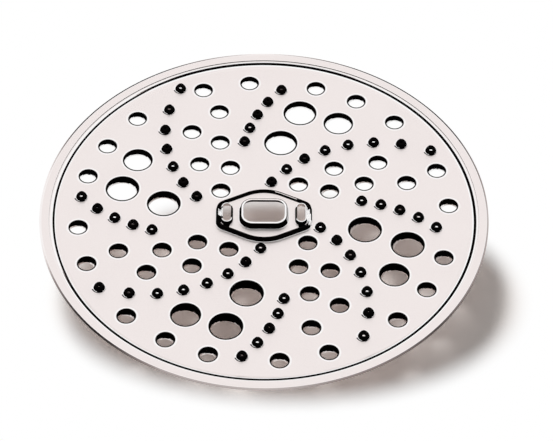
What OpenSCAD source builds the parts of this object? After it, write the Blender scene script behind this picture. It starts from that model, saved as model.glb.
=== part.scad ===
// Pressed steel rasping disc for a food mill: a thin round sheet with a raised
// rim, pierced rasping teeth, drawn fall-through holes and a raised drive hub.
// The disc lies flat in XY, its axis is Z, and z = 0 is the foot of the deepest
// collars. The hub is longest along X.

/* [Sheet] */
// Overall diameter of the disc
disc_d = 145; // [135:0.5:165]
// Thickness of the sheet
sheet_t = 0.5; // [0.4:0.05:0.7]

/* [Rim] */
// Width of the whole raised rim, from the flat face to the cut edge
rim_w = 5.6; // [4.8:0.1:7]
// Height of the cut edge above the face
rim_rise = 1.5; // [1.1:0.1:2.5]
// Width of the easy ramp that leaves the face
ramp_w = 0.8; // [0.4:0.1:1.2]
// Height of the easy ramp
ramp_rise = 0.22; // [0.1:0.02:0.3]
// Width of the steep step outside the ramp
step_w = 0.6; // [0.4:0.1:1]
// Height of the steep step
step_rise = 0.4; // [0.2:0.05:0.5]
// Width of the shoulder between the step and the flange
shoulder_w = 1; // [0.6:0.1:1.4]
// Height of the shoulder
shoulder_rise = 0.33; // [0.1:0.03:0.4]

/* [Fall-through holes] */
// Bore of a small hole
small_hole_d = 5.7; // [4:0.1:6.4]
// Bore of a large hole
large_hole_d = 10; // [8:0.1:11]
// Bore of the large hole in the outer row, by the teeth
outer_hole_d = 9.3; // [8:0.1:10]
// Depth of a small hole's collar, from the face to its foot
small_collar = 2.3; // [1.2:0.1:3]
// Depth of a large hole's collar, from the face to its foot
large_collar = 2.8; // [1.4:0.1:3.2]
// Wall of a collar
collar_t = 0.4; // [0.3:0.05:0.6]
// Radius that rolls the face down into a hole
roll_r = 0.4; // [0.3:0.05:0.6]

/* [Rasping teeth] */
// Diameter of a tooth's foot on the face
tooth_foot_d = 3.9; // [3.4:0.1:4.4]
// Diameter of a tooth's wall above its foot
tooth_d = 3.2; // [2.8:0.1:3.4]
// Diameter across a tooth's torn crown
crown_d = 2.6; // [2.2:0.1:2.8]
// Height of a tooth above the face
tooth_h = 1.25; // [0.8:0.05:1.6]
// Wall of a tooth at its crown
crown_wall = 0.35; // [0.25:0.05:0.45]
// Depth of the notches between a crown's points
notch_h = 0.5; // [0.3:0.05:0.6]
// Width of a notch at the top of the crown
notch_w = 1.1; // [0.7:0.1:1.3]

/* [Rows of teeth] */
// Radius of the arc that a long row of teeth lies on
row_arc_r = 43.7; // [42:0.1:46]
// Distance of that arc's centre from the disc's axis
row_arc_off = 39; // [38:0.1:41]
// Angle of that centre from X, for the first long row
row_arc_turn = -15.9; // [-20:0.1:0]
// Step from tooth to tooth along the radius, long rows
long_step = 6.69; // [6.4:0.01:7.4]
// Step from tooth to tooth along the radius, short rows
short_step = 5.83; // [5.4:0.01:6.4]
// Distance of the first long row's outermost tooth from the flat face's edge
long_inset = 3.1; // [3:0.1:5]
// Distance of the first short row's outermost tooth from the flat face's edge
short_inset = 6.9; // [6:0.1:8]
// Teeth in a short row
short_teeth = 5; // [3:1:6]
// Degrees by which a short row runs ahead of a long row, at its outermost tooth
short_lead = 51.4; // [48:0.1:54]
// Degrees of that lead lost at each step inward
short_fan = 1.66; // [1:0.01:2]

/* [Drive hub] */
// Length of the raised hub along X
hub_l = 31.1; // [29:0.1:33]
// Width of the raised hub across its crowned middle
hub_w = 21.9; // [20:0.1:23]
// Angle of the hub's long sides to X
hub_side = 26; // [22:1:30]
// Radius of the hub's crowned middle
hub_crown_r = 13.5; // [11:0.5:16]
// Radius of the hub's end corners
hub_end_r = 3.6; // [2.4:0.1:4.5]
// Height of the hub's flat above the face
hub_rise = 0.8; // [0.6:0.1:1.2]
// Height of the ridge round the hub above its flat
ridge_rise = 0.35; // [0.15:0.05:0.6]
// Width of the ridge's steep outer wall
ridge_wall = 0.35; // [0.2:0.05:0.5]
// Width of the ridge's sloped inner side
ridge_w = 1.05; // [0.7:0.05:1.3]

/* [Drive openings] */
// Length of the drive opening along X
drive_l = 13.2; // [11:0.1:14]
// Width of the drive opening
drive_w = 9.3; // [8:0.1:10]
// Corner radius of the drive opening
drive_r = 2.9; // [1.5:0.1:3.6]
// Height of the drive opening's lip above the hub's flat
drive_lip = 1.9; // [1:0.1:2.4]
// Thickness of a lip, measured level
lip_t = 0.6; // [0.5:0.05:0.8]
// Width of a lip's flare, from its edge out to its foot
lip_flare_w = 0.8; // [0.3:0.05:1]
// Length of a latch slot along Y
slot_l = 7.4; // [6:0.1:8]
// Width of a latch slot
slot_w = 2.6; // [2:0.1:3]
// Distance between the centres of the two latch slots
slot_span = 24; // [23.4:0.1:24.4]
// Height of a latch slot's lip above the hub's flat
slot_lip = 1.3; // [0.6:0.1:1.8]

/* [Hidden] */
disc_r = disc_d / 2;
face_r = disc_r - rim_w;
face_z = max(small_collar, large_collar);
hub_z = face_z + hub_rise;
round_fn = 48;
cut = 2 * sheet_t;           // how far a cutter runs past what it cuts
slab = sheet_t / 25;         // thickness of a lofted outline
clear = sheet_t;             // least flat face kept between two features
quarters = [0, 90, 180, 270];

// Places of the holes in each quarter. The holes keep the rhythm of the teeth, so a place is
// [long steps in from the edge of the flat face, degrees ahead of the long row at that radius]
small_holes = [
    [1.02, -25.8], [1.02, -10.7], [0.98, 14], [1.02, 28.7], [1.02, 42.7],
    [2.69, -24.5], [4.66, -31.4], [6.41, -40.8],
    [3.37, -14.2], [5.34, -17.4], [7.31, -25.2]
];
outer_holes = [[2.79, 16.4]];
large_holes = [[2.88, 32], [5.07, 22.3]];

// Quarters in the order in which the rows step inward, a quarter step each
long_order = [1, 0, 2, 3];
short_order = [1, 2, 0, 3];
long_most = ceil(face_r / long_step);

// Polar angle of the point at radius r on the first long row
function row_angle(r) = row_arc_turn
    + acos((row_arc_off * row_arc_off + r * r - row_arc_r * row_arc_r) / (2 * row_arc_off * r));

// A hole's place as [radius, angle], and its gap to a tooth at radius r and angle a
function hole_at(h) =
    let (r = face_r - h[0] * long_step) [r, row_angle(r) + h[1]];
function gap_to(h, d, r, a) =
    let (p = hole_at(h))
    min([for (q = quarters) norm([
        r * cos(a) - p[0] * cos(p[1] + q),
        r * sin(a) - p[0] * sin(p[1] + q)])]) - d / 2;
function hole_gap(r, a) = min(concat(
    [for (h = small_holes) gap_to(h, small_hole_d, r, a)],
    [for (h = outer_holes) gap_to(h, outer_hole_d, r, a)],
    [for (h = large_holes) gap_to(h, large_hole_d, r, a)]));

// Points of an arc, as a fan round a centre
function arc(c, r, a0, a1, n) =
    [for (i = [0:n]) let (a = a0 + (a1 - a0) * i / n) [c[0] + r * cos(a), c[1] + r * sin(a)]];

// Outline of the hub, set in by a distance: crowned middle, straight sides, round corners
hub_crown_y = hub_w / 2 - hub_crown_r;
hub_end_x = hub_l / 2 - hub_end_r;
hub_end_y = (hub_crown_y * cos(hub_side) + hub_crown_r - hub_end_r - hub_end_x * sin(hub_side))
    / cos(hub_side);
function hub_quarter(inset) = concat(
    arc([hub_end_x, hub_end_y], hub_end_r - inset, 0, 90 - hub_side, 6),
    arc([0, hub_crown_y], hub_crown_r - inset, 90 - hub_side, 90, 6));
function mirrored_x(p) = [for (i = [len(p) - 1:-1:0]) [-p[i][0], p[i][1]]];
function mirrored_y(p) = [for (i = [len(p) - 1:-1:0]) [p[i][0], -p[i][1]]];
function hub_half(inset) = concat(hub_quarter(inset), mirrored_x(hub_quarter(inset)));
function hub_outline(inset) = concat(hub_half(inset), mirrored_y(hub_half(inset)));

// Distance of a point from the hub's outline, and whether a round feature of radius fr
// at polar [r, a] lies clear of it
function side_gap(x, y) =
    atan2(x, y - hub_crown_y) < hub_side
        ? norm([x, y - hub_crown_y]) - hub_crown_r
        : x * sin(hub_side) + (y - hub_crown_y) * cos(hub_side) - hub_crown_r;
function edge_gap(x, y) = max(abs(x) - hub_l / 2, side_gap(abs(x), abs(y)));
function clear_of_hub(r, a, fr) = edge_gap(r * cos(a), r * sin(a)) > fr + clear / 2;

// Outline of an opening: a rectangle with round corners, grown by a margin
module rounded(l, w, r, grow) {
    x = l / 2 - r;
    y = w / 2 - r;
    polygon(concat(
        arc([x, y], r + grow, 0, 90, 6), arc([-x, y], r + grow, 90, 180, 6),
        arc([-x, -y], r + grow, 180, 270, 6), arc([x, -y], r + grow, 270, 360, 6)));
}

// The round sheet with its stepped and flared rim
rim_line = [
    [face_r, 0],
    [face_r + ramp_w, ramp_rise],
    [face_r + ramp_w + step_w, ramp_rise + step_rise],
    [face_r + ramp_w + step_w + shoulder_w, ramp_rise + step_rise + shoulder_rise],
    [disc_r, rim_rise]
];
module blank() {
    top = concat([[0, 0]], rim_line);
    under = [for (i = [len(top) - 1:-1:0]) [top[i][0], top[i][1] - sheet_t]];
    translate([0, 0, face_z])
        rotate_extrude($fn = 180) polygon(concat(top, under));
}

// A hole drawn downward: the wall it leaves, and the cut through it
module collar_wall(d, depth) {
    translate([0, 0, -depth])
        cylinder(d = d + 2 * collar_t, h = depth - sheet_t / 2, $fn = round_fn);
}
module collar_bore(d, depth) {
    rotate_extrude($fn = round_fn)
        polygon(concat(
            [[0, -depth - cut], [d / 2, -depth - cut]],
            arc([d / 2 + roll_r, -roll_r], roll_r, 180, 90, 3),
            [[d / 2 + roll_r, cut], [0, cut]]));
}

// A tooth pushed up and pierced from below, its crown torn into four points
foot_r = (tooth_foot_d - tooth_d) / 2;
module tooth_wall() {
    rotate_extrude($fn = round_fn)
        polygon(concat(
            [[0, -sheet_t / 2], [tooth_foot_d / 2, -sheet_t / 2]],
            arc([tooth_foot_d / 2, foot_r], foot_r, 270, 180, 3),
            [[crown_d / 2, tooth_h], [0, tooth_h]]));
}
module tooth_bore() {
    bore_r = crown_d / 2 - crown_wall;
    lean = (tooth_d - crown_d) / 2 / (tooth_h - foot_r);
    low = sheet_t + cut;
    rotate_extrude($fn = round_fn)
        polygon([
            [0, -low], [bore_r + lean * (tooth_h + low), -low],
            [bore_r - lean * cut, tooth_h + cut], [0, tooth_h + cut]]);
    for (turn = [45, 135])
        rotate([0, 0, turn])
            translate([0, tooth_d / 2 + cut, tooth_h])
                rotate([90, 0, 0])
                    linear_extrude(tooth_d + 2 * cut)
                        polygon([
                            [0, -notch_h],
                            [notch_w / 2 * (1 + cut / notch_h), cut],
                            [-notch_w / 2 * (1 + cut / notch_h), cut]]);
}

// Places of the repeated features, each turned so that its X points outward
module polar(r, a) {
    rotate([0, 0, a]) translate([r, 0, face_z]) children();
}
module at_holes(list, d) {
    for (h = list) {
        p = hole_at(h);
        for (q = quarters)
            if (clear_of_hub(p[0], p[1] + q, d / 2 + roll_r)) polar(p[0], p[1] + q) children();
    }
}
module at_row(inset, step, lead, fan, order, most) {
    for (s = [0:3], i = [0:most - 1]) {
        k = i + s / 4;
        r = face_r - inset - step * k;
        if (r > tooth_foot_d) {
            a = row_angle(r) + lead - fan * k + 90 * order[s];
            room = tooth_foot_d / 2;
            if (clear_of_hub(r, a, room) && hole_gap(r, a) > room + roll_r + clear)
                polar(r, a) children();
        }
    }
}
module at_teeth() {
    at_row(long_inset, long_step, 0, 0, long_order, long_most) children();
    at_row(short_inset, short_step, short_lead, short_fan, short_order, short_teeth) children();
}

// The raised hub: ridge and flat, with a leaning lip round each opening
ridge_lean = ridge_wall / (hub_rise + ridge_rise);
module loft(z0, z1) {
    hull() {
        translate([0, 0, z0]) linear_extrude(slab) children(0);
        translate([0, 0, z1 - slab]) linear_extrude(slab) children(1);
    }
}
module hub_wall() {
    sunk = sheet_t / 2;
    translate([0, 0, face_z]) loft(-sunk, hub_rise + ridge_rise) {
        polygon(hub_outline(-ridge_lean * sunk));
        polygon(hub_outline(ridge_wall));
    }
}
module hub_dish() {
    translate([0, 0, hub_z]) loft(0, ridge_rise + slab) {
        polygon(hub_outline(ridge_wall + ridge_w));
        polygon(hub_outline(ridge_wall));
    }
}
module hub_hollow() {
    depth = sheet_t + cut;
    translate([0, 0, face_z - depth])
        linear_extrude(depth + hub_rise - sheet_t)
            polygon(hub_outline(sheet_t + ridge_lean * hub_rise));
}
module lip_wall(l, w, r, h) {
    sunk = sheet_t / 2;
    foot = lip_flare_w * (h + sunk) / h;
    translate([0, 0, hub_z]) loft(-sunk, h) {
        rounded(l, w, r, lip_t + foot);
        rounded(l, w, r, lip_t);
    }
}
module drive_bore() {
    low = sheet_t + cut;
    lean = lip_flare_w / drive_lip;
    translate([0, 0, hub_z]) loft(-low, drive_lip + cut) {
        rounded(drive_l, drive_w, drive_r, lean * (drive_lip + low));
        rounded(drive_l, drive_w, drive_r, -lean * cut);
    }
}
module slot_bore() {
    translate([0, 0, hub_z - sheet_t - cut])
        linear_extrude(sheet_t + slot_lip + 2 * cut)
            rounded(slot_w, slot_l, slot_w / 2, 0);
}

module rasping_disc() {
    color([0.86, 0.83, 0.82])
        difference() {
            union() {
                difference() {
                    union() {
                        blank();
                        hub_wall();
                    }
                    hub_dish();
                    hub_hollow();
                }
                lip_wall(drive_l, drive_w, drive_r, drive_lip);
                for (side = [-1, 1])
                    translate([side * slot_span / 2, 0, 0])
                        lip_wall(slot_w, slot_l, slot_w / 2, slot_lip);
                at_holes(small_holes, small_hole_d) collar_wall(small_hole_d, small_collar);
                at_holes(large_holes, large_hole_d) collar_wall(large_hole_d, large_collar);
                at_holes(outer_holes, outer_hole_d) collar_wall(outer_hole_d, large_collar);
                at_teeth() tooth_wall();
            }
            drive_bore();
            for (side = [-1, 1])
                translate([side * slot_span / 2, 0, 0]) slot_bore();
            at_holes(small_holes, small_hole_d) collar_bore(small_hole_d, small_collar);
            at_holes(large_holes, large_hole_d) collar_bore(large_hole_d, large_collar);
            at_holes(outer_holes, outer_hole_d) collar_bore(outer_hole_d, large_collar);
            at_teeth() tooth_bore();
        }
}

rasping_disc();
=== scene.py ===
from functools import partial
from math import acos, atan2, ceil, cos, degrees, hypot, pi, radians, sin

import bmesh
import bpy
from mathutils import Matrix, Vector
from mathutils.geometry import delaunay_2d_cdt


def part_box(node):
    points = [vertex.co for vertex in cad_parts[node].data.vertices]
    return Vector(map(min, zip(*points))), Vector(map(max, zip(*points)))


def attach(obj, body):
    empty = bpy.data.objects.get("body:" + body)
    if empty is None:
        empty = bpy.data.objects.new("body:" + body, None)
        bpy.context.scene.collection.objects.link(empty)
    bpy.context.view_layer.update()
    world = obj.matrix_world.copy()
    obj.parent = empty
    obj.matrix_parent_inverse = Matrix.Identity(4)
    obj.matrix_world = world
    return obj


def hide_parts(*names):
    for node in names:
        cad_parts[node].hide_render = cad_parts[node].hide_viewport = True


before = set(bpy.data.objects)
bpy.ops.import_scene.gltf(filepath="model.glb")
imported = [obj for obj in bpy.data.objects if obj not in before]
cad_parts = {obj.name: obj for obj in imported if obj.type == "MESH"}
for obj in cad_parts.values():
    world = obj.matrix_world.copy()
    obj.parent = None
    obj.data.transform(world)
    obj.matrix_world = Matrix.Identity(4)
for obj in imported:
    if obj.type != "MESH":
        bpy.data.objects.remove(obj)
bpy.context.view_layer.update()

discLow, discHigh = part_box("rasping_disc")
mm = 0.001
print("frame read, the disc's size:", [round(high - low, 5) for low, high in zip(discLow, discHigh)])

# the disc is drawn in millimetres, with heights measured from its flat face
sheet = {
    "faceHeight": 2.8,  # the face above the frame's zero
    "faceRadius": 66.9,  # by the rim's foot; the teeth and holes are counted inward from here
    "thickness": 0.5,
    "faceTone": 0.75, "underTone": 0.68, "rimUnderTone": 0.66, "hubUnderTone": 0.5,
    "sharpAngle": 50,  # degrees
    "levelFrom": 0.99999,  # a face whose normal is more upright than this is shaded flat
    "weld": 0.002,  # points closer than this become one
}

# steel: tone 0 is the painted black of a steep wall, a painted dark reflection; 0.75 is the sheet's face; 1 a
# painted highlight on an edge; 1.1 a painted highlight on a flank
steelLook = {
    "tones": [(0.0, (0.004, 0.0035, 0.0035)), (0.25, (0.045, 0.035, 0.033)), (0.5, (0.30, 0.25, 0.24)),
              (0.75, (0.874, 0.808, 0.794)), (1.0, (0.99, 0.985, 0.985))],
    "metalFrom": 0.02, "metalTo": 0.15,  # the painted black walls are dull and not metal, so that they stay black; the rest is metal
    "roughness": 0.4, "roughSwing": 0.06,
    "paintedFlankFrom": 1.05, "paintedFlank": 0.2,  # the tone past which a flank carries a painted highlight, and how much rougher such a flank is
    "mottle": 0.012, "mottleScale": 55.0,  # slow change across the sheet
    "grain": 0.02, "grainScale": 2600.0,  # fine speckle of the rolled sheet
    "brush": 0.05, "brushDepth": 0.00005, "brushScale": (60.0, 2400.0, 60.0),  # the depth is in metres
}


def link(tree, a, b):
    tree.links.new(a, b)


def mathNode(tree, operation, *values):
    node = tree.nodes.new("ShaderNodeMath")
    node.operation = operation
    for socket, value in zip(node.inputs, values):
        if isinstance(value, (int, float)):
            socket.default_value = value
        else:
            link(tree, value, socket)
    return node.outputs[0]


def treeNode(tree, kind, settings=None, **sockets):  # a node, its settings, and what its sockets hold
    node = tree.nodes.new(kind)
    for key, value in (settings or {}).items():
        setattr(node, key, value)
    for key, value in sockets.items():
        socket = node.inputs[key.replace("_", " ")]
        if isinstance(value, bpy.types.NodeSocket):
            link(tree, value, socket)
        else:
            socket.default_value = value
    return node


def makeSteel():
    material = bpy.data.materials.new("brightSteel")
    material.use_nodes = True
    tree = material.node_tree
    calc, make = partial(mathNode, tree), partial(treeNode, tree)
    shader = tree.nodes["Principled BSDF"]
    place = make("ShaderNodeTexCoord").outputs["Object"]
    tone = make("ShaderNodeAttribute", {"attribute_name": "tone"}).outputs["Fac"]

    def swing(scale, amount, detail):  # noise that swings about zero
        noise = make("ShaderNodeTexNoise", Vector=place, Scale=scale, Detail=detail).outputs["Fac"]
        return calc("MULTIPLY", calc("SUBTRACT", noise, 0.5), amount * 2)

    shift = calc("ADD", swing(steelLook["mottleScale"], steelLook["mottle"], detail=3.0),
                 swing(steelLook["grainScale"], steelLook["grain"], detail=2.0))
    ramp = make("ShaderNodeValToRGB")
    link(tree, calc("ADD", tone, shift), ramp.inputs[0])
    band, tones = ramp.color_ramp, steelLook["tones"]
    for element, (where, colour) in zip(band.elements, (tones[0], tones[-1])):
        element.position, element.color = where, (*colour, 1)
    for where, colour in tones[1:-1]:
        band.elements.new(where).color = (*colour, 1)
    link(tree, ramp.outputs[0], shader.inputs["Base Color"])
    # the walls painted black, a painted dark reflection, are not metal
    metalShare = make("ShaderNodeMapRange", Value=tone, From_Min=steelLook["metalFrom"], From_Max=steelLook["metalTo"])
    link(tree, metalShare.outputs[0], shader.inputs["Metallic"])
    shader.inputs["Specular IOR Level"].default_value = 0.0
    # the rolling direction shows as long fine streaks in the gloss
    stretch = make("ShaderNodeMapping", Vector=place, Scale=steelLook["brushScale"])
    streak = make("ShaderNodeTexNoise", Vector=stretch.outputs[0], Scale=1.0, Detail=4.0).outputs["Fac"]
    rough = calc("MULTIPLY_ADD", streak, steelLook["roughSwing"] * 2,
                 steelLook["roughness"] - steelLook["roughSwing"])
    # a flank with a painted highlight is made rougher
    paintedFlank = calc("GREATER_THAN", tone, steelLook["paintedFlankFrom"])
    link(tree, calc("MULTIPLY_ADD", paintedFlank, steelLook["paintedFlank"], rough), shader.inputs["Roughness"])
    bump = make("ShaderNodeBump", Strength=steelLook["brush"], Distance=steelLook["brushDepth"], Height=streak)
    link(tree, bump.outputs[0], shader.inputs["Normal"])
    return material


steel = makeSteel()
print("steel material made")


# what the two trees of repeated forms share: a section in strips, swept round a circle
def newTree(name, inputs):
    tree = bpy.data.node_groups.new(name, "GeometryNodeTree")
    tree.interface.new_socket("Geometry", in_out="OUTPUT", socket_type="NodeSocketGeometry")
    tree.interface.new_socket("Geometry", in_out="INPUT", socket_type="NodeSocketGeometry")
    for label in inputs:
        kind = {"Sides": "Int", "Seed": "Int", "Steel": "Material"}.get(label, "Float")
        tree.interface.new_socket(label, in_out="INPUT", socket_type="NodeSocket" + kind)
    return tree, tree.nodes.new("NodeGroupInput").outputs


def storeTone(tree, geometry, tone):
    return treeNode(tree, "GeometryNodeStoreNamedAttribute", {"domain": "FACE"},
                    Geometry=geometry, Name="tone", Value=tone).outputs[0]


def sweptSection(tree, radius, sides, stations, tones):  # stations are x from the circle, and depth
    make = partial(treeNode, tree)
    circle = make("GeometryNodeCurvePrimitiveCircle", Resolution=sides, Radius=radius).outputs[0]
    joined = make("GeometryNodeJoinGeometry")
    for start, end, tone in zip(stations, stations[1:], tones):
        start, end = (make("ShaderNodeCombineXYZ", X=x, Y=y).outputs[0] for x, y in (start, end))
        line = make("GeometryNodeCurvePrimitiveLine", Start=start, End=end)
        swept = make("GeometryNodeCurveToMesh", Curve=circle, Profile_Curve=line.outputs[0]).outputs[0]
        link(tree, storeTone(tree, swept, tone), joined.inputs[0])
    return joined.outputs[0]


def readAxes(tree):
    where = treeNode(tree, "GeometryNodeInputPosition").outputs[0]
    return treeNode(tree, "ShaderNodeSeparateXYZ", Vector=where).outputs


def spanNode(tree, axes):  # distance from the middle, seen from above
    calc = partial(mathNode, tree)
    return calc("SQRT", calc("ADD", calc("MULTIPLY", axes["X"], axes["X"]), calc("MULTIPLY", axes["Y"], axes["Y"])))


def realOnPoints(tree, points, instance):
    placed = treeNode(tree, "GeometryNodeInstanceOnPoints", Points=points, Instance=instance)
    return treeNode(tree, "GeometryNodeRealizeInstances", Geometry=placed.outputs[0]).outputs[0]


def readAttribute(tree, name):
    return treeNode(tree, "GeometryNodeInputNamedAttribute", Name=name).outputs[0]


def finishTree(tree, geometry, material):  # real geometry, smooth, with its material
    real = treeNode(tree, "GeometryNodeRealizeInstances", Geometry=geometry).outputs[0]
    smooth = treeNode(tree, "GeometryNodeSetShadeSmooth", Geometry=real).outputs[0]
    painted = treeNode(tree, "GeometryNodeSetMaterial", Geometry=smooth, Material=material).outputs[0]
    link(tree, painted, tree.nodes.new("NodeGroupOutput").inputs[0])


def bakedPoints(name, places, tree, lengths, others):  # runs a tree on points and returns a plain mesh
    mesh = bpy.data.meshes.new(name + "Points")
    mesh.from_pydata([(x * mm, y * mm, sheet["faceHeight"] * mm) for x, y in places], [], [])
    holder = bpy.data.objects.new(name, mesh)
    bpy.context.scene.collection.objects.link(holder)
    modifier = holder.modifiers.new(name, "NODES")
    modifier.node_group = tree
    sockets = {s.name: s.identifier for s in tree.interface.items_tree if s.in_out == "INPUT"}
    for label, value in {**{k: v * mm for k, v in lengths.items()}, **others}.items():
        modifier[sockets[label]] = value
    graph = bpy.context.evaluated_depsgraph_get()
    made = bpy.data.meshes.new_from_object(holder.evaluated_get(graph))
    bpy.data.objects.remove(holder)
    return made


# teeth: eight bent rows of pierced nibs; the holes are placed from the same bend
teeth = {
    "arcRadius": 43.7, "arcOffset": 39.0, "arcTurn": -15.9,
    "longStep": 6.69, "longInset": 3.1, "longOrder": (1, 0, 2, 3),
    "shortStep": 5.83, "shortInset": 6.9, "shortOrder": (1, 2, 0, 3),
    "shortCount": 5, "shortLead": 51.4, "shortFan": 1.66,
    "hubRoom": 2.2,  # a nib nearer to the hub than this is left out
    "lengths": {
        "Ring Radius": 2.34, "Hook Radius": 2.32, "Groove Radius": 1.97, "Foot Radius": 1.85,
        "Wall Radius": 1.76, "Crown Radius": 1.36, "Height": 1.25, "Crown Wall": 0.42, "Ledge": 0.5,
        "Bore Radius": 0.9, "Notch": 0.18, "Lean X": 0.16, "Lean Y": -0.06},
    # below the face, or above it where negative
    "depths": {"Hook Radius": 0.01, "Groove Radius": 0.03, "Foot Radius": -0.02, "Wall Radius": -0.13},
    "waistBulge": 0.2,  # how far the middle of the wall stands out
    "crownLevel": 0.9, "ledgeLevel": 0.84,  # inside the crown, as shares of the height
    "topFrom": 0.98,  # the share of the height above which is the torn top ring
    "margin": 0.05,  # when points are told apart by their distance from the nib's middle
    "stillBelow": 0.1,  # points deeper than this don't lean
    "valleyPower": 0.6,  # less than 1 gives narrow notches
    "stretch": 1.02,  # the nibs are a little longer than wide
    "sides": 40, "seed": 7,
    # degrees round a nib, from -180 to 180: the painted black hook of shade, its painted black join to the nib, the
    # lit inner edge
    "hookShadeSector": (-164, -58), "footShadeSector": (-105, -58), "glintSector": (-125, -60),
    # tones outside the sectors: the hook's ring, and the painted highlight ring at the nib's foot
    "ringTone": 0.8, "hookRingTone": 0.86, "footHighlightTone": 0.95,
    "shine": (0.25, 0.7),  # a nib's random draw below the first is dark, above the second is bright
    "tornScale": 1500.0, "tornAmount": 1.5,  # noise on the top ring, as a share of the notches' depth
}


def rowAngle(r):
    c, a = teeth["arcOffset"], teeth["arcRadius"]
    return teeth["arcTurn"] + degrees(acos((c * c + r * r - a * a) / (2 * c * r)))


def polar(r, a):
    return r * cos(radians(a)), r * sin(radians(a))


def hubGap(x, y):  # distance of a point from the hub's outline
    x, y = abs(x), abs(y)
    crownY = hub["width"] / 2 - hub["crown"]
    side = radians(hub["side"])
    if atan2(x, y - crownY) < side:
        flank = hypot(x, y - crownY) - hub["crown"]
    else:
        flank = x * sin(side) + (y - crownY) * cos(side) - hub["crown"]
    return max(x - hub["length"] / 2, flank)


def toothPlaces():
    places = []
    nearest = teeth["arcRadius"] - teeth["arcOffset"]  # the bend comes no nearer to the axis
    for s in range(4):
        for i in range(ceil(sheet["faceRadius"] / teeth["longStep"])):
            r = sheet["faceRadius"] - teeth["longInset"] - teeth["longStep"] * (i + s / 4)
            if r <= nearest:
                continue
            x, y = polar(r, rowAngle(r) + 90 * teeth["longOrder"][s])
            if hubGap(x, y) > teeth["hubRoom"]:
                places.append((x, y))
        for i in range(teeth["shortCount"]):
            k = i + s / 4
            r = sheet["faceRadius"] - teeth["shortInset"] - teeth["shortStep"] * k
            a = rowAngle(r) + teeth["shortLead"] - teeth["shortFan"] * k + 90 * teeth["shortOrder"][s]
            places.append(polar(r, a))
    return places


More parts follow.
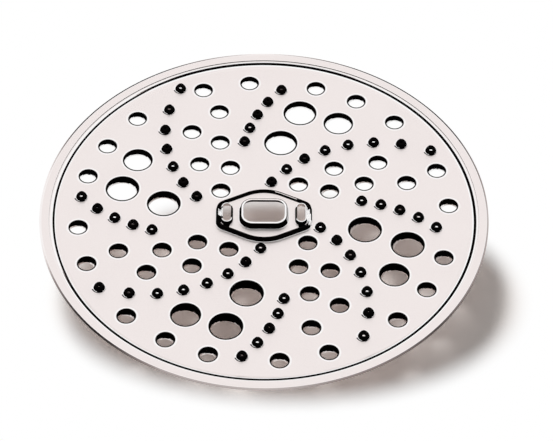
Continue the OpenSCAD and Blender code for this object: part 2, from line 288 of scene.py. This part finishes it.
def toothTree():
    labels = list(teeth["lengths"]) + ["Sheet", "Stretch"]
    tree, given = newTree("raspTooth", labels + ["Sides", "Seed", "Steel"])
    calc, make = partial(mathNode, tree), partial(treeNode, tree)
    size = {label: given[label] for label in labels}

    def out(label, extra=0.0):  # distance from the circle, in the section's own x
        return calc("SUBTRACT", calc("ADD", size[label], extra), size["Ring Radius"])

    top = calc("MULTIPLY", size["Height"], -1.0)
    inner = calc("SUBTRACT", out("Crown Radius"), size["Crown Wall"])
    waist = calc("MULTIPLY_ADD", out("Wall Radius"), 0.5,
                 calc("MULTIPLY", out("Crown Radius", teeth["waistBulge"] * mm), 0.5))
    stations = [(0.0, 0.0)] + [(out(label), depth * mm) for label, depth in teeth["depths"].items()]
    stations += [
        (waist, calc("MULTIPLY", top, 0.5)), (out("Crown Radius"), top),
        (inner, calc("MULTIPLY", top, teeth["crownLevel"])),
        (calc("SUBTRACT", inner, size["Ledge"]), calc("MULTIPLY", top, teeth["ledgeLevel"])),
        (out("Bore Radius"), size["Sheet"])]
    axes = readAxes(tree)
    turn = calc("ARCTAN2", axes["Y"], axes["X"])

    def sector(name):  # 1 between two angles
        start, end = teeth[name]
        return calc("MULTIPLY", calc("GREATER_THAN", turn, radians(start)), calc("LESS_THAN", turn, radians(end)))

    # a painted black hook of shade curls round the groove on one side, with a painted highlight ring inside it; the
    # ledge inside the crown can catch the light, a painted glint
    hookShade = calc("MULTIPLY_ADD", sector("hookShadeSector"), -teeth["hookRingTone"], teeth["hookRingTone"])
    footLightAndShade = calc("MULTIPLY_ADD", sector("footShadeSector"), -teeth["footHighlightTone"], teeth["footHighlightTone"])
    glintMark = 2.0  # replaced below by each nib's own glint
    glint = calc("MULTIPLY", sector("glintSector"), glintMark)
    # the nib's walls and crown are painted black, a painted dark reflection, and its glint strip is a painted
    # highlight
    body = sweptSection(tree, size["Ring Radius"], given["Sides"], stations,
                        (teeth["ringTone"], hookShade, footLightAndShade, 0.0, 0.0, 0.0, 0.0, glint, 0.0))
    # the groove follows half of the nib's lean, and the ring none
    span, margin = spanNode(tree, axes), teeth["margin"] * mm
    grooved = calc("LESS_THAN", span, calc("SUBTRACT", size["Ring Radius"], margin))
    raised = calc("LESS_THAN", span, calc("SUBTRACT", size["Groove Radius"], margin))
    isNib = calc("MULTIPLY", calc("GREATER_THAN", axes["Z"], -teeth["stillBelow"] * mm),
                 calc("MULTIPLY", calc("ADD", grooved, raised), 0.5))
    longer = calc("MULTIPLY_ADD", axes["Y"], calc("SUBTRACT", size["Stretch"], 1.0), size["Lean Y"])
    # the crown is torn into points: four notches and some noise, on its top ring alone
    petal = calc("ABSOLUTE", calc("COSINE", calc("MULTIPLY", turn, 2.0)))
    valley = calc("SUBTRACT", 1.0, calc("POWER", petal, teeth["valleyPower"]))
    isTop = calc("GREATER_THAN", axes["Z"], calc("MULTIPLY", size["Height"], teeth["topFrom"]))
    drop = calc("MULTIPLY", calc("MULTIPLY", valley, size["Notch"]), isTop)
    offset = make("ShaderNodeCombineXYZ", X=calc("MULTIPLY", size["Lean X"], isNib),
                  Y=calc("MULTIPLY", longer, isNib), Z=calc("MULTIPLY", drop, -1.0))
    lowered = make("GeometryNodeSetPosition", Geometry=body, Offset=offset.outputs[0])
    marked = make("GeometryNodeStoreNamedAttribute", Geometry=lowered.outputs[0], Name="torn", Value=isTop)
    # each nib catches the light by its own amount
    pick = make("FunctionNodeRandomValue", Seed=given["Seed"])
    chance = make("GeometryNodeStoreNamedAttribute", Geometry=given[0], Name="shine", Value=pick.outputs[1])
    real = realOnPoints(tree, chance.outputs[0], marked.outputs[0])
    tone, shine, torn = (readAttribute(tree, name) for name in ("tone", "shine", "torn"))
    dark, bright = teeth["shine"]
    lit = make("ShaderNodeMapRange", Value=shine, From_Min=dark, From_Max=bright).outputs[0]
    isGlint = calc("GREATER_THAN", tone, glintMark - 0.5)
    real = storeTone(tree, real, calc("MULTIPLY_ADD", calc("SUBTRACT", lit, tone), isGlint, tone))
    noise = make("ShaderNodeTexNoise", Scale=teeth["tornScale"], Detail=1.0)
    centred = make("ShaderNodeVectorMath", {"operation": "SUBTRACT"})
    link(tree, noise.outputs["Color"], centred.inputs[0])
    centred.inputs[1].default_value = (0.5, 0.5, 0.6)  # a little more down than up
    reach = calc("MULTIPLY", calc("MULTIPLY", torn, size["Notch"]), teeth["tornAmount"])
    amount = make("ShaderNodeVectorMath", {"operation": "SCALE"}, Scale=reach)
    link(tree, centred.outputs[0], amount.inputs[0])
    ragged = make("GeometryNodeSetPosition", Geometry=real, Offset=amount.outputs[0])
    finishTree(tree, ragged.outputs[0], given["Steel"])
    return tree


# holes: round openings with a painted highlight ring, a lip painted black and a collar drawn downward, its wall
# painted black in part, a painted dark reflection
holes = {
    # steps in from the rim's foot in the long row's rhythm, and degrees ahead of that row
    "places": {
        "small": [(1.02, -25.8), (1.02, -10.7), (0.98, 14), (1.02, 28.7), (1.02, 42.7), (2.69, -24.5),
                  (4.66, -31.4), (6.41, -40.8), (3.37, -14.2), (5.34, -17.4), (7.31, -25.2)],
        "outer": [(2.79, 16.4)],
        "large": [(2.88, 32), (5.07, 22.3)]},
    # the flare is how far the collar opens towards its foot; the shade is how far down its wall a hole is
    # painted black at its deepest, a painted dark reflection, on the disc's near and far side
    "lengths": {
        "small": {"Bore Radius": 2.74, "Highlight Width": 0.64, "Lip": 0.42, "Flare": 0.0, "Depth": 2.72,
                  "Shade Near": 2.42, "Shade Far": 2.26},
        "outer": {"Bore Radius": 4.46, "Highlight Width": 0.54, "Lip": 0.46, "Flare": -0.12, "Depth": 2.77,
                  "Shade Near": 2.9, "Shade Far": 2.3},
        "large": {"Bore Radius": 5.0, "Highlight Width": 0.54, "Lip": 0.5, "Flare": -0.25, "Depth": 2.77,
                  "Shade Near": 2.9, "Shade Far": 2.35}},
    "shared": {"Dip": 0.02, "Shoulder": 0.03, "Wall": 0.4, "Splay": 0.4},  # the splay is at the collar's foot
    "sides": {"small": 40, "outer": 64, "large": 64},
    "bands": 9,  # rings of faces down a wall
    # the share of its reach that the painted black has at a hole's sides, what it gains towards the near
    # and far side of the hole, and what it gains from left to right
    "shadeLevel": 0.64, "shadeBow": 0.36, "shadeTilt": 0.07,
    # the ring round each opening is a painted highlight
    "ringTone": 0.9, "footTones": (0.55, 0.5),
    "belowShadeTones": (0.76, 1.0),  # the wall below the painted black, near and far; painted darker on the near side, painted shade
    "shadeSpan": 30, "belowShadeSpan": 20,  # distance from the axis to the near and far side, for each
}


def holePlaces(kind):
    places = []
    for steps, lead in holes["places"][kind]:
        r = sheet["faceRadius"] - steps * teeth["longStep"]
        places += [polar(r, rowAngle(r) + lead + q) for q in (0, 90, 180, 270)]
    return places


def drawnHoleTree():
    labels = list(holes["lengths"]["small"]) + list(holes["shared"]) + ["Sheet", "Face"]
    tree, given = newTree("drawnHole", labels + ["Sides", "Steel"])
    calc, make = partial(mathNode, tree), partial(treeNode, tree)
    size = {label: given[label] for label in labels}
    bands = holes["bands"]
    low = calc("MULTIPLY", size["Dip"], 2.0)
    length = calc("SUBTRACT", size["Depth"], low)
    wall = [(calc("MULTIPLY", size["Flare"], k / bands), calc("MULTIPLY_ADD", length, k / bands, low))
            for k in range(bands + 1)]
    stations = [(calc("ADD", size["Lip"], size["Highlight Width"]), 0.0), (size["Lip"], size["Dip"]),
                (size["Shoulder"], size["Dip"]), *wall,
                (calc("ADD", size["Flare"], size["Wall"]), size["Depth"]), (size["Wall"], size["Sheet"])]
    # until the hole is in place, a wall's tone is markStart and its depth in millimetres over its share
    markStart, isMark = 20.0, 5.0
    axes = readAxes(tree)
    cross = calc("DIVIDE", axes["X"], size["Bore Radius"])
    along = calc("DIVIDE", axes["Y"], size["Bore Radius"])
    share = calc("MULTIPLY_ADD", cross, holes["shadeTilt"],
                 calc("MULTIPLY_ADD", calc("MULTIPLY", along, along), holes["shadeBow"], holes["shadeLevel"]))
    mark = calc("MULTIPLY_ADD", calc("DIVIDE", axes["Z"], share), -1 / mm, markStart)
    # the ring is a painted highlight, the lip is painted black, and the wall is painted black down to the shade's
    # reach, a painted dark reflection
    whole = sweptSection(tree, size["Bore Radius"], given["Sides"], stations,
                         (holes["ringTone"], 0.0, 0.0) + (mark,) * bands + holes["footTones"])
    real = realOnPoints(tree, given[0], whole)
    place = readAxes(tree)

    def across(half, near, away):  # a value that changes from the disc's near side to its far side
        return make("ShaderNodeMapRange", Value=place["Y"], From_Min=-half * mm, From_Max=half * mm,
                    To_Min=near, To_Max=away).outputs[0]

    # how far down each wall the painted black reaches, and the tone of the wall below it
    reach = across(holes["shadeSpan"], size["Shade Near"], size["Shade Far"])
    bright = across(holes["belowShadeSpan"], *holes["belowShadeTones"])
    tone = readAttribute(tree, "tone")
    marked = calc("GREATER_THAN", tone, isMark)
    belowShade = calc("GREATER_THAN", calc("SUBTRACT", tone, markStart), calc("MULTIPLY", reach, 1 / mm))
    plain = calc("MULTIPLY", calc("SUBTRACT", 1.0, marked), tone)
    toned = storeTone(tree, real, calc("MULTIPLY_ADD", calc("MULTIPLY", marked, belowShade), bright, plain))
    # the collars splay a little, away from the disc's middle
    down = make("ShaderNodeMapRange", Value=place["Z"], From_Min=calc("SUBTRACT", size["Face"], size["Sheet"]),
                From_Max=calc("SUBTRACT", size["Face"], size["Depth"]), To_Min=0.0, To_Max=size["Splay"])
    push = calc("DIVIDE", down.outputs[0], spanNode(tree, place))
    offset = make("ShaderNodeCombineXYZ", X=calc("MULTIPLY", place["X"], push), Y=calc("MULTIPLY", place["Y"], push))
    splayed = make("GeometryNodeSetPosition", Geometry=toned, Offset=offset.outputs[0])
    finishTree(tree, splayed.outputs[0], given["Steel"])
    return tree


# outlines, and flat and lofted stretches between them
def ring(cx, cy, radius, sides):
    return [(cx + radius * cos(2 * pi * i / sides), cy + radius * sin(2 * pi * i / sides)) for i in range(sides)]


def fanArc(cx, cy, radius, start, end, steps):
    turns = [radians(start + (end - start) * i / steps) for i in range(steps + 1)]
    return [(cx + radius * cos(a), cy + radius * sin(a)) for a in turns]


def between(a, b, steps):  # points from a up to but not with b
    return [tuple(p + (q - p) * i / steps for p, q in zip(a, b)) for i in range(steps)]


def inside(loop, x, y):
    hit = False
    for i, (x0, y0) in enumerate(loop):
        x1, y1 = loop[i - 1]
        if (y0 > y) != (y1 > y) and x < (x1 - x0) * (y - y0) / (y1 - y0) + x0:
            hit = not hit
    return hit


class Shell:  # collects vertices and faces in millimetres, with each face's tone
    def __init__(self):
        self.verts, self.faces, self.tones = [], [], []

    def add(self, face, x, y, tone):  # a tone is a number, or a function of the place
        self.faces.append(face)
        self.tones.append(tone(x, y) if callable(tone) else tone)

    def loft(self, rings, heights, tones):  # rings of equal length, joined one to the next
        base, count = len(self.verts), len(rings[0])
        for points, z in zip(rings, heights):
            self.verts += [(x, y, z) for x, y in points]
        for k, tone in zip(range(len(rings) - 1), tones):
            for i in range(count):
                a, b = base + k * count + i, base + k * count + (i + 1) % count
                self.add((a, b, b + count, a + count), *self.verts[a][:2], tone)

    def flat(self, outer, inner, z, tone):  # a flat stretch between an outline and the openings in it
        points, edges = [], []
        for loop in [outer] + inner:
            start = len(points)
            points += [Vector(p) for p in loop]
            edges += [(start + i, start + (i + 1) % len(loop)) for i in range(len(loop))]
        insideOnly, tolerance = 1, 1e-7
        verts, _, faces, _, _, _ = delaunay_2d_cdt(points, edges, [], insideOnly, tolerance)
        middles = [tuple(sum(p[k] for p in loop) / len(loop) for k in (0, 1)) for loop in inner]
        reaches = [max(hypot(p[0] - m[0], p[1] - m[1]) for p in loop) for loop, m in zip(inner, middles)]
        base = len(self.verts)
        self.verts += [(v.x, v.y, z) for v in verts]
        for face in faces:
            x, y = (sum(verts[i][k] for i in face) / len(face) for k in (0, 1))
            inHole = any(hypot(x - m[0], y - m[1]) < reach and inside(loop, x, y)
                         for loop, m, reach in zip(inner, middles, reaches))
            if not inHole and inside(outer, x, y):
                self.add(tuple(base + i for i in face), x, y, tone)


# hub: a raised six-sided plate with a ridge round it, a lipped drive opening and two lipped slots
beyond = 99.0  # past any edge of the hub
# painted highlights on the hub's left and right flanks: x from and to, y from and to, tone
leftHighlight, rightHighlight = (-beyond, -13.5, -0.5, 2.2, 1.1), (13.4, beyond, -3.9, 1.7, 1.1)
hub = {
    "length": 31.1, "width": 21.9, "side": 26.0, "crown": 13.5, "end": 3.6,  # the side is in degrees
    "arcSteps": 8, "endSteps": 5, "sideSteps": 9,
    # distance in from the outline, height, and the tone of the stretch that ends there, a painted highlight or
    # painted shade, as a number or as the name of its painted light; the last height is the hub's flat
    "ridge": [(-0.12, 0, 0), (0.0, 0.05, 0.9), (0.28, 1.25, "ridgeWall"), (0.42, 1.45, "ridgeWall"),
              (0.75, 1.42, "ridgeCrest"), (0.9, 1.3, "ridgeStreak"), (1.4, 0.84, "ridgeFlank"),
              (1.48, 0.8, "ridgeFlank")],
    "underside": (0.55, 0.8),  # distances in of the wall under the ridge
    # the lips' stations are distance out from the opening's edge, height and tone, a painted highlight or painted
    # shade; the height is up from the hub's flat at the foot, down from the lip's height at the top, and in
    # thicknesses down under it
    "drive": {
        "places": [0], "size": (13.2, 9.3), "corner": 2.9, "height": 1.9,
        "foot": [(1.6, 0, 0), (1.4, 0.03, 0.92), (1.3, 0.2, "driveFlank")],
        "top": [(0.92, 0.15, "driveFlank"), (0.66, 0.03, 0.0), (0.6, 0, "driveRim"), (0.06, 0, "driveRim"),
                (0.02, 0.05, 0.2), (0.0, 0.15, 0.0)],
        "under": [(1.0, 0, 0.05), (1.4, 1, 0.6)]},
    "slots": {
        "places": [12.0, -12.0], "size": (2.6, 7.4), "corner": 1.3, "height": 1.3,
        "foot": [(0.66, 0, 0), (0.62, 0.03, "slotFlank"), (0.55, 0.2, "slotFlank")],
        "top": [(0.4, 0.15, "slotFlank"), (0.38, 0.03, 0.1), (0.35, 0, "slotRim"), (0.06, 0, "slotRim"),
                (0.02, 0.04, 0.2), (0.0, 0.12, 0.1)],
        "under": [(0.3, 0, 0.8), (0.6, 1, 0.8)]},
    # painted highlights and painted shade, placed by where the light falls: x from and to, y from and to, tone; and
    # then the tone elsewhere
    "paintedLight": {
        "ridgeWall": ([(14.3, beyond, -4.9, -2.8, 1.1)], 0.0),
        "ridgeCrest": ([(14.0, beyond, -4.9, -0.3, 0.95)], 0.0),
        "ridgeStreak": ([(4.2, 10.8, 0.0, beyond, 0.75), leftHighlight, rightHighlight], 0.0),
        "ridgeFlank": ([leftHighlight, rightHighlight], 0.0),
        "driveFlank": ([(6.5, beyond, -3.4, beyond, 1.1)], 0.0),
        "driveRim": ([(-beyond, beyond, 4.5, beyond, 0.78)], 0.97),
        "slotFlank": ([(-beyond, -13.0, -0.5, 2.2, 1.1), (13.0, beyond, -2.5, beyond, 1.1)], 0.0),
        "slotRim": ([(-beyond, beyond, 2.5, beyond, 0.95), (-beyond, beyond, -beyond, -2.5, 0.95),
                     (12.0, beyond, -beyond, beyond, 0.97), (-beyond, -12.0, -1.7, 1.9, 0.97)], 0.04),
        "floor": ([(13.85, beyond, -3.6, 3.6, 1.1), (-beyond, -13.85, -0.5, 2.2, 1.1),
                   (-beyond, -13.85, -3.6, 3.6, 0.0), (10.9, 13.7, -beyond, -4.1, 0.0),
                   (-13.7, -10.9, -beyond, -4.1, 0.0)], sheet["faceTone"])},
}


def hubOutline(inset):
    side = radians(hub["side"])
    crownY = hub["width"] / 2 - hub["crown"]
    endX = hub["length"] / 2 - hub["end"]
    endY = (crownY * cos(side) + hub["crown"] - hub["end"] - endX * sin(side)) / cos(side)
    end = fanArc(endX, endY, hub["end"] - inset, 0, 90 - hub["side"], hub["arcSteps"])
    crown = fanArc(0, crownY, hub["crown"] - inset, 90 - hub["side"], 90, hub["arcSteps"])
    quarter = between((end[0][0], 0), end[0], hub["endSteps"]) + end
    quarter += between(end[-1], crown[0], hub["sideSteps"])[1:] + crown
    half = quarter + [(-x, y) for x, y in reversed(quarter[:-1])]
    return half + [(x, -y) for x, y in reversed(half[1:-1])]


def roundedOutline(cx, size, corner, grow):
    x, y, steps = size[0] / 2 - corner, size[1] / 2 - corner, hub["arcSteps"]
    points = []
    for sx, sy, start in ((1, 1, 0), (-1, 1, 90), (-1, -1, 180), (1, -1, 270)):
        points += fanArc(cx + sx * x, sy * y, corner + grow, start, start + 90, steps)
    belowShade = []
    for i, p in enumerate(points):
        apart = hypot(p[0] - points[i - 1][0], p[1] - points[i - 1][1]) > 1e-5
        if i % (steps + 1) == 0 and apart:  # a straight side
            belowShade += between(points[i - 1], p, steps)[1:]
        if i == 0 or apart:
            belowShade.append(p)
    return belowShade


def paintedLightTone(name):  # the painted highlight or painted shade of a stretch, by its place on the hub
    boxes, elsewhere = hub["paintedLight"][name]

    def tone(x, y):
        hits = [value for x0, x1, y0, y1, value in boxes if x0 < x < x1 and y0 < y < y1]
        return hits[0] if hits else elsewhere
    return tone


def hubTones(line):
    return [paintedLightTone(tone) if isinstance(tone, str) else tone for _, _, tone in line[1:]]


def lipLine(opening):
    height, thickness = opening["height"], sheet["thickness"]
    return (opening["foot"] + [(out, height - drop, tone) for out, drop, tone in opening["top"]]
            + [(out, -thickness * share, tone) for out, share, tone in opening["under"]])


def hubSurfaces(shell):
    ridge, thickness = hub["ridge"], sheet["thickness"]
    rise = ridge[-1][1]
    rings = [hubOutline(inset) for inset, _, _ in ridge]
    shell.loft(rings, [z for _, z, _ in ridge], hubTones(ridge))
    underRings = [hubOutline(inset) for inset in hub["underside"]]
    shell.loft(underRings, [-thickness, rise - thickness], [sheet["hubUnderTone"]])
    feet, feetUnder = [], []
    for opening in (hub["drive"], hub["slots"]):
        line = lipLine(opening)
        for cx in opening["places"]:
            lipRings = [roundedOutline(cx, opening["size"], opening["corner"], grow) for grow, _, _ in line]
            shell.loft(lipRings, [rise + z for _, z, _ in line], hubTones(line))
            feet.append(lipRings[0])
            feetUnder.append(lipRings[-1])
    shell.flat(rings[-1], feet, rise, paintedLightTone("floor"))
    shell.flat(underRings[-1], feetUnder, rise - thickness, sheet["underTone"])
    return rings[0], underRings[0]


# rim: one step up and a nearly flat border, turned from its line
rim = {
    "steps": 288,
    # radius and height from the flat face out to the cut edge, and the tone of the stretch that ends
    # there, a painted highlight or painted shade, as a number or as the name of its turn
    "line": [(66.25, 0, 0), (66.6, 0.05, 0.75), (67.3, 0.55, 0.76), (67.58, 0.67, 1.0), (67.72, 0.7, "stepFoot"),
             (68.28, 0.79, 0.0), (68.58, 0.84, "stepTop"), (68.72, 0.88, "stepEdge"), (69.0, 1.0, 0.94),
             (69.4, 1.05, 0.76), (69.43, 1.28, 0.0), (69.6, 1.3, 0.84), (71.8, 1.42, 0.75), (71.98, 1.44, 0.88),
             (72.48, 1.32, "cutEdge")],
    "edgeBevel": 0.08,
    # degrees round the disc and tone, painted light and shade: the step's painted black line lies farther in on the
    # left and is broadest at the back, and the cut edge is grey, painted darker in places
    "turns": {
        "stepFoot": [(0, 1.0), (122, 1.0), (130, 0.0), (198, 0.0), (206, 1.0), (360, 1.0)],
        "stepTop": [(0, 0.0), (122, 0.0), (130, 0.94), (198, 0.94), (206, 0.0), (360, 0.0)],
        "stepEdge": [(0, 0.94), (60, 0.94), (68, 0.0), (112, 0.0), (120, 0.94), (360, 0.94)],
        "cutEdge": [(0, 0.6), (22, 0.4), (34, 0.08), (58, 0.08), (72, 0.45), (90, 0.8), (108, 0.45), (122, 0.1),
                    (146, 0.15), (158, 0.6), (172, 0.86), (190, 0.86), (203, 0.5), (221, 0.1), (243, 0.55),
                    (270, 0.6), (300, 0.45), (318, 0.28), (336, 0.5), (360, 0.6)]},
}


def turned(name):  # the painted light and shade of a stretch, by its angle round the disc
    stops = rim["turns"][name]

    def tone(x, y):
        turn = degrees(atan2(y, x)) % 360
        for (before, first), (after, last) in zip(stops, stops[1:]):
            if before <= turn <= after:
                return first + (last - first) * (turn - before) / (after - before)
    return tone


def rimSurfaces(shell):  # its underside keeps the sheet's thickness
    line, bevel = rim["line"], rim["edgeBevel"]
    top = [(r, z) for r, z, _ in line]
    below = [(r, z - sheet["thickness"]) for r, z in reversed(top)]
    whole = top + [(top[-1][0], top[-1][1] - bevel), (below[0][0], below[0][1] + bevel)] + below
    tones = [turned(tone) if isinstance(tone, str) else tone for _, _, tone in line[1:]]
    tones += [turned("cutEdge")] * 3 + [sheet["rimUnderTone"]] * (len(below) - 1)
    circles = [ring(0, 0, r, rim["steps"]) for r, _ in whole]
    shell.loft(circles, [z for _, z in whole], tones)
    return circles[0], circles[-1]


# the whole disc, as one closed mesh
def buildDisc():
    thickness, lift = sheet["thickness"], sheet["faceHeight"]
    shell = Shell()
    hubEdge, hubUnder = hubSurfaces(shell)
    print("hub lofted")
    places = {kind: holePlaces(kind) for kind in holes["places"]}
    toothAt = toothPlaces()
    print("places:", {kind: len(found) for kind, found in places.items()}, "teeth:", len(toothAt))
    top, under = [hubEdge], [hubUnder]
    for kind, found in places.items():
        size, sides = holes["lengths"][kind], holes["sides"][kind]
        reach = size["Bore Radius"] + size["Highlight Width"] + size["Lip"]
        top += [ring(x, y, reach, sides) for x, y in found]
        under += [ring(x, y, size["Bore Radius"] + holes["shared"]["Wall"], sides) for x, y in found]
    top += [ring(x, y, teeth["lengths"]["Ring Radius"], teeth["sides"]) for x, y in toothAt]
    under += [ring(x, y, teeth["lengths"]["Bore Radius"], teeth["sides"]) for x, y in toothAt]
    rimFoot, rimUnder = rimSurfaces(shell)
    shell.flat(rimFoot, top, 0.0, sheet["faceTone"])
    shell.flat(rimUnder, under, -thickness, sheet["underTone"])
    print("flat stretches filled")

    mesh = bpy.data.meshes.new("pressedDisc")
    mesh.from_pydata([(x * mm, y * mm, (z + lift) * mm) for x, y, z in shell.verts], [], shell.faces)
    mesh.attributes.new("tone", "FLOAT", "FACE").data.foreach_set("value", shell.tones)
    work = bmesh.new()
    work.from_mesh(mesh)
    holeTree = drawnHoleTree()
    repeated = [(kind + "Holes", found, holeTree,
                 {**holes["lengths"][kind], **holes["shared"], "Sheet": thickness, "Face": lift},
                 {"Sides": holes["sides"][kind], "Steel": steel}) for kind, found in places.items()]
    repeated.append(("raspTeeth", toothAt, toothTree(), {**teeth["lengths"], "Sheet": thickness},
                     {"Stretch": teeth["stretch"], "Sides": teeth["sides"], "Seed": teeth["seed"], "Steel": steel}))
    for name, found, tree, lengths, others in repeated:
        made = bakedPoints(name, found, tree, lengths, others)
        work.from_mesh(made)
        bpy.data.meshes.remove(made)
    print("holes and teeth placed")

    bmesh.ops.remove_doubles(work, verts=work.verts, dist=sheet["weld"] * mm)
    bmesh.ops.recalc_face_normals(work, faces=work.faces)
    print("edges that aren't closed:", sum(len(e.link_faces) != 2 for e in work.edges))
    work.to_mesh(mesh)
    work.free()
    mesh.materials.clear()
    mesh.materials.append(steel)
    for name in ("torn", "shine"):
        if name in mesh.attributes:
            mesh.attributes.remove(mesh.attributes[name])
    mesh.set_sharp_from_angle(angle=radians(sheet["sharpAngle"]))
    mesh.polygons.foreach_set("use_smooth", [abs(p.normal.z) < sheet["levelFrom"] for p in mesh.polygons])
    disc = bpy.data.objects.new("pressedDisc", mesh)
    bpy.context.scene.collection.objects.link(disc)
    print("disc mesh:", len(mesh.polygons), "faces")
    return disc


disc = buildDisc()
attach(disc, "root")
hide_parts("rasping_disc")

# camera: the elevation is in degrees, the roll in radians, the distance and the sensor in millimetres, and
# the rest in pixels of the render
view = {"elevation": 48.3215, "distance": 1004.77, "focal": 3108.02, "width": 553, "height": 441,
        "target": (264.02, 216.52), "roll": -0.00591, "sensor": 36}


def makeCamera():
    data = bpy.data.cameras.new("studioCamera")
    data.sensor_width = view["sensor"]
    data.lens = view["focal"] / view["width"] * view["sensor"]
    data.clip_start, data.clip_end = 0.01, 50
    camera = bpy.data.objects.new("studioCamera", data)
    bpy.context.scene.collection.objects.link(camera)
    lift = radians(view["elevation"])
    back = Vector((0, -cos(lift), sin(lift)))
    aim = Vector(((view["target"][0] - view["width"] / 2) / view["focal"],
                  -(view["target"][1] - view["height"] / 2) / view["focal"], -1)).normalized()
    turn = Vector((0, 0, -1)).rotation_difference(aim).to_matrix()
    c, s = cos(view["roll"]), sin(view["roll"])
    roll = Matrix(((c, -s, 0), (s, c, 0), (0, 0, 1)))
    pose = back.to_track_quat("Z", "Y").to_matrix() @ turn.transposed() @ roll.transposed()
    target = Vector((0, 0, sheet["faceHeight"] * mm))
    camera.matrix_world = Matrix.Translation(target + back * view["distance"] * mm) @ pose.to_4x4()
    bpy.context.scene.camera = camera


makeCamera()
print("camera set")

# floor, world and lamp, in metres
studio = {
    "floorDrop": 0.012, "floorHalf": 3.0,
    "paper": (1.52, 1.437, 1.376), "paperBounce": (0.8, 0.8, 0.8),  # as it is seen, and as it lights the disc
    "poolCentre": (0.0080, -0.0219), "poolSize": (0.0738, 0.0418), "poolSoft": 0.006,
    "ambient": 0.2,
    "lampPower": 9.0, "lampPlace": (-0.28, 0.72, 0.62), "lampSize": (0.36, 0.68),
}


def rayMask(tree):  # camera, mirrored and seen-through rays
    path = tree.nodes.new("ShaderNodeLightPath")
    return mathNode(tree, "MAXIMUM", path.outputs["Is Camera Ray"],
                    mathNode(tree, "MAXIMUM", path.outputs["Is Glossy Ray"], path.outputs["Is Transmission Ray"]))


def makeFloor():
    half, z = studio["floorHalf"], -studio["floorDrop"]
    mesh = bpy.data.meshes.new("studioFloor")
    mesh.from_pydata([(-half, -half, z), (half, -half, z), (half, half, z), (-half, half, z)], [], [(0, 1, 2, 3)])
    floor = bpy.data.objects.new("studioFloor", mesh)
    bpy.context.scene.collection.objects.link(floor)
    material = bpy.data.materials.new("paperFloor")
    material.use_nodes = True
    tree = material.node_tree
    tree.nodes.clear()
    calc, make = partial(mathNode, tree), partial(treeNode, tree)
    # only a pool round the object keeps its shadow; the paper beyond is plain white
    axes = make("ShaderNodeSeparateXYZ", Vector=make("ShaderNodeTexCoord").outputs["Object"])
    span = []
    for axis, middle, reach in zip("XY", studio["poolCentre"], studio["poolSize"]):
        offset = calc("SUBTRACT", axes.outputs[axis], middle)
        span.append((calc("DIVIDE", offset, reach), calc("DIVIDE", offset, reach * reach)))
    level = calc("ADD", *[calc("MULTIPLY", a, a) for a, _ in span])
    slope = calc("SQRT", calc("ADD", *[calc("MULTIPLY", b, b) for _, b in span]))
    outside = calc("DIVIDE", calc("SUBTRACT", level, 1.0), calc("MULTIPLY", calc("MAXIMUM", slope, 1.0), 2.0))
    edge = make("ShaderNodeMapRange", {"interpolation_type": "SMOOTHSTEP"}, Value=outside,
                From_Min=-studio["poolSoft"], From_Max=studio["poolSoft"])
    seen = rayMask(tree)
    colour = make("ShaderNodeMix", {"data_type": "RGBA"}, Factor=seen)
    colour.inputs[6].default_value = (*studio["paperBounce"], 1)
    colour.inputs[7].default_value = (*studio["paper"], 1)
    paper = make("ShaderNodeBsdfDiffuse", Color=colour.outputs[2])
    plain = make("ShaderNodeEmission", Strength=1.0)
    mix = make("ShaderNodeMixShader")
    away = calc("MULTIPLY", edge.outputs[0], seen)
    for socket, value in zip(mix.inputs, (away, paper.outputs[0], plain.outputs[0])):
        link(tree, value, socket)
    make("ShaderNodeOutputMaterial", Surface=mix.outputs[0])
    mesh.materials.append(material)


def makeWorld():
    world = bpy.data.worlds.new("studioWorld")
    bpy.context.scene.world = world
    world.use_nodes = True
    tree = world.node_tree
    back = tree.nodes["Background"]
    strength = treeNode(tree, "ShaderNodeMix", {"data_type": "FLOAT"}, Factor=rayMask(tree))
    strength.inputs[2].default_value = studio["ambient"]
    strength.inputs[3].default_value = 1.0
    link(tree, strength.outputs[0], back.inputs["Strength"])
    back.inputs["Color"].default_value = (1, 1, 1, 1)


def makeLamp(name):
    data = bpy.data.lights.new(name, "AREA")
    data.shape = "RECTANGLE"
    data.size, data.size_y = studio["lampSize"]
    data.energy = studio["lampPower"]
    lamp = bpy.data.objects.new(name, data)
    bpy.context.scene.collection.objects.link(lamp)
    spot = Vector(studio["lampPlace"])
    aim = Vector((*studio["poolCentre"], -studio["floorDrop"]))
    lamp.matrix_world = Matrix.Translation(spot) @ (spot - aim).to_track_quat("Z", "Y").to_matrix().to_4x4()
    lamp.visible_glossy = False


makeFloor()
makeWorld()
makeLamp("softBox")
bpy.context.scene.view_settings.view_transform = "Standard"
print("studio lit")
